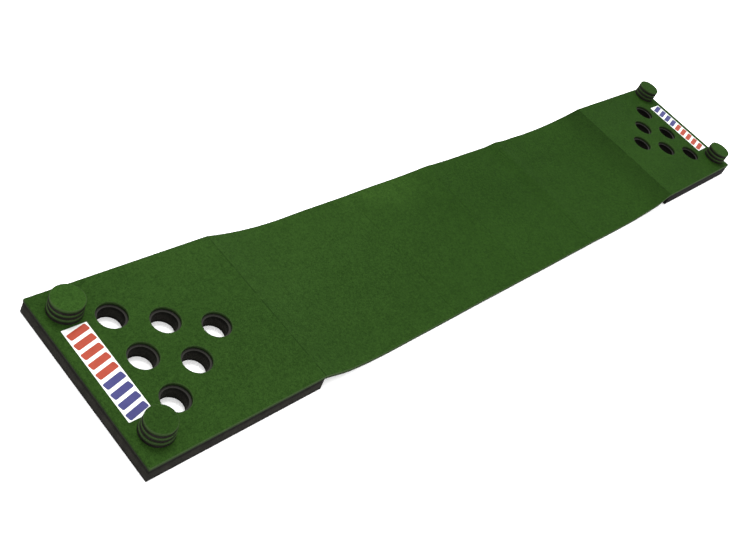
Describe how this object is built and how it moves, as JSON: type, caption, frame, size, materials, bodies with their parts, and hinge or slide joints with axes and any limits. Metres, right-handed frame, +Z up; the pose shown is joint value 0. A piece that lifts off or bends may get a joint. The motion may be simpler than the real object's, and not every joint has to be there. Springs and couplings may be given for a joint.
{
  "type": "practice putting mat",
  "caption": "Long turf putting mat with a raised foam pad at each end, a triangle of holes through each pad, ramps between them and loose turf-topped hole covers.",
  "frame": {"origin": "on the floor, under the centre of the mat", "axes": "+X along the mat from the near end to the far end, +Y across the mat from its front edge to its back edge, +Z up"},
  "size_m": [3.55, 0.61, 0.1162],
  "materials": {
    "turf": "matte",
    "backing": "matte",
    "foam": "matte",
    "label": "satin"
  },
  "bodies": {
    "near_pad": {"near_pad_foam": "foam", "near_pad_backing": "backing", "near_pad_turf": "turf", "near_label": "label"},
    "near_ramp": {"near_ramp_backing": "backing", "near_ramp_turf": "turf"},
    "near_centre": {"near_centre_backing": "backing", "near_centre_turf": "turf"},
    "near_front_cover_bottom": {"near_front_cover_bottom_foam": "foam", "near_front_cover_bottom_turf": "turf"},
    "near_front_cover_middle": {"near_front_cover_middle_foam": "foam", "near_front_cover_middle_turf": "turf"},
    "near_front_cover_top": {"near_front_cover_top_foam": "foam", "near_front_cover_top_turf": "turf"},
    "near_back_cover_bottom": {"near_back_cover_bottom_foam": "foam", "near_back_cover_bottom_turf": "turf"},
    "near_back_cover_middle": {"near_back_cover_middle_foam": "foam", "near_back_cover_middle_turf": "turf"},
    "near_back_cover_top": {"near_back_cover_top_foam": "foam", "near_back_cover_top_turf": "turf"},
    "far_pad": {"far_pad_foam": "foam", "far_pad_backing": "backing", "far_pad_turf": "turf", "far_label": "label"},
    "far_ramp": {"far_ramp_backing": "backing", "far_ramp_turf": "turf"},
    "far_centre": {"far_centre_backing": "backing", "far_centre_turf": "turf"},
    "far_front_cover_bottom": {"far_front_cover_bottom_foam": "foam", "far_front_cover_bottom_turf": "turf"},
    "far_front_cover_middle": {"far_front_cover_middle_foam": "foam", "far_front_cover_middle_turf": "turf"},
    "far_front_cover_top": {"far_front_cover_top_foam": "foam", "far_front_cover_top_turf": "turf"},
    "far_back_cover_bottom": {"far_back_cover_bottom_foam": "foam", "far_back_cover_bottom_turf": "turf"},
    "far_back_cover_middle": {"far_back_cover_middle_foam": "foam", "far_back_cover_middle_turf": "turf"},
    "far_back_cover_top": {"far_back_cover_top_foam": "foam", "far_back_cover_top_turf": "turf"}
  },
  "joints": [
    {"name": "near_panel_fold", "type": "hinge", "parent": "near_centre", "child": "near_ramp", "pos_m": [-0.462, 0, 0.0133], "axis": [0, 1, 0], "range_deg": [0, 90]},
    {"name": "near_pad_fold", "type": "hinge", "parent": "near_ramp", "child": "near_pad", "pos_m": [-1.135, 0, 0.0606], "axis": [0, 1, 0], "range_deg": [0, 165]},
    {"name": "centre_fold", "type": "hinge", "parent": "near_centre", "child": "far_centre", "pos_m": [0, 0, 0.0133], "axis": [0, 1, 0], "range_deg": [-165, 0]},
    {"name": "far_panel_fold", "type": "hinge", "parent": "far_centre", "child": "far_ramp", "pos_m": [0.462, 0, 0.0133], "axis": [0, -1, 0], "range_deg": [0, 90]},
    {"name": "far_pad_fold", "type": "hinge", "parent": "far_ramp", "child": "far_pad", "pos_m": [1.135, 0, 0.0606], "axis": [0, -1, 0], "range_deg": [0, 165]},
    {"name": "near_front_cover_bottom_lift", "type": "slide", "parent": "near_pad", "child": "near_front_cover_bottom", "axis": [0, 0, 1], "range_m": [0, 0.04]},
    {"name": "near_front_cover_middle_lift", "type": "slide", "parent": "near_front_cover_bottom", "child": "near_front_cover_middle", "axis": [0, 0, 1], "range_m": [0, 0.04]},
    {"name": "near_front_cover_top_lift", "type": "slide", "parent": "near_front_cover_middle", "child": "near_front_cover_top", "axis": [0, 0, 1], "range_m": [0, 0.04]},
    {"name": "near_back_cover_bottom_lift", "type": "slide", "parent": "near_pad", "child": "near_back_cover_bottom", "axis": [0, 0, 1], "range_m": [0, 0.04]},
    {"name": "near_back_cover_middle_lift", "type": "slide", "parent": "near_back_cover_bottom", "child": "near_back_cover_middle", "axis": [0, 0, 1], "range_m": [0, 0.04]},
    {"name": "near_back_cover_top_lift", "type": "slide", "parent": "near_back_cover_middle", "child": "near_back_cover_top", "axis": [0, 0, 1], "range_m": [0, 0.04]},
    {"name": "far_front_cover_bottom_lift", "type": "slide", "parent": "far_pad", "child": "far_front_cover_bottom", "axis": [0, 0, 1], "range_m": [0, 0.04]},
    {"name": "far_front_cover_middle_lift", "type": "slide", "parent": "far_front_cover_bottom", "child": "far_front_cover_middle", "axis": [0, 0, 1], "range_m": [0, 0.04]},
    {"name": "far_front_cover_top_lift", "type": "slide", "parent": "far_front_cover_middle", "child": "far_front_cover_top", "axis": [0, 0, 1], "range_m": [0, 0.04]},
    {"name": "far_back_cover_bottom_lift", "type": "slide", "parent": "far_pad", "child": "far_back_cover_bottom", "axis": [0, 0, 1], "range_m": [0, 0.04]},
    {"name": "far_back_cover_middle_lift", "type": "slide", "parent": "far_back_cover_bottom", "child": "far_back_cover_middle", "axis": [0, 0, 1], "range_m": [0, 0.04]},
    {"name": "far_back_cover_top_lift", "type": "slide", "parent": "far_back_cover_middle", "child": "far_back_cover_top", "axis": [0, 0, 1], "range_m": [0, 0.04]}
  ]
}
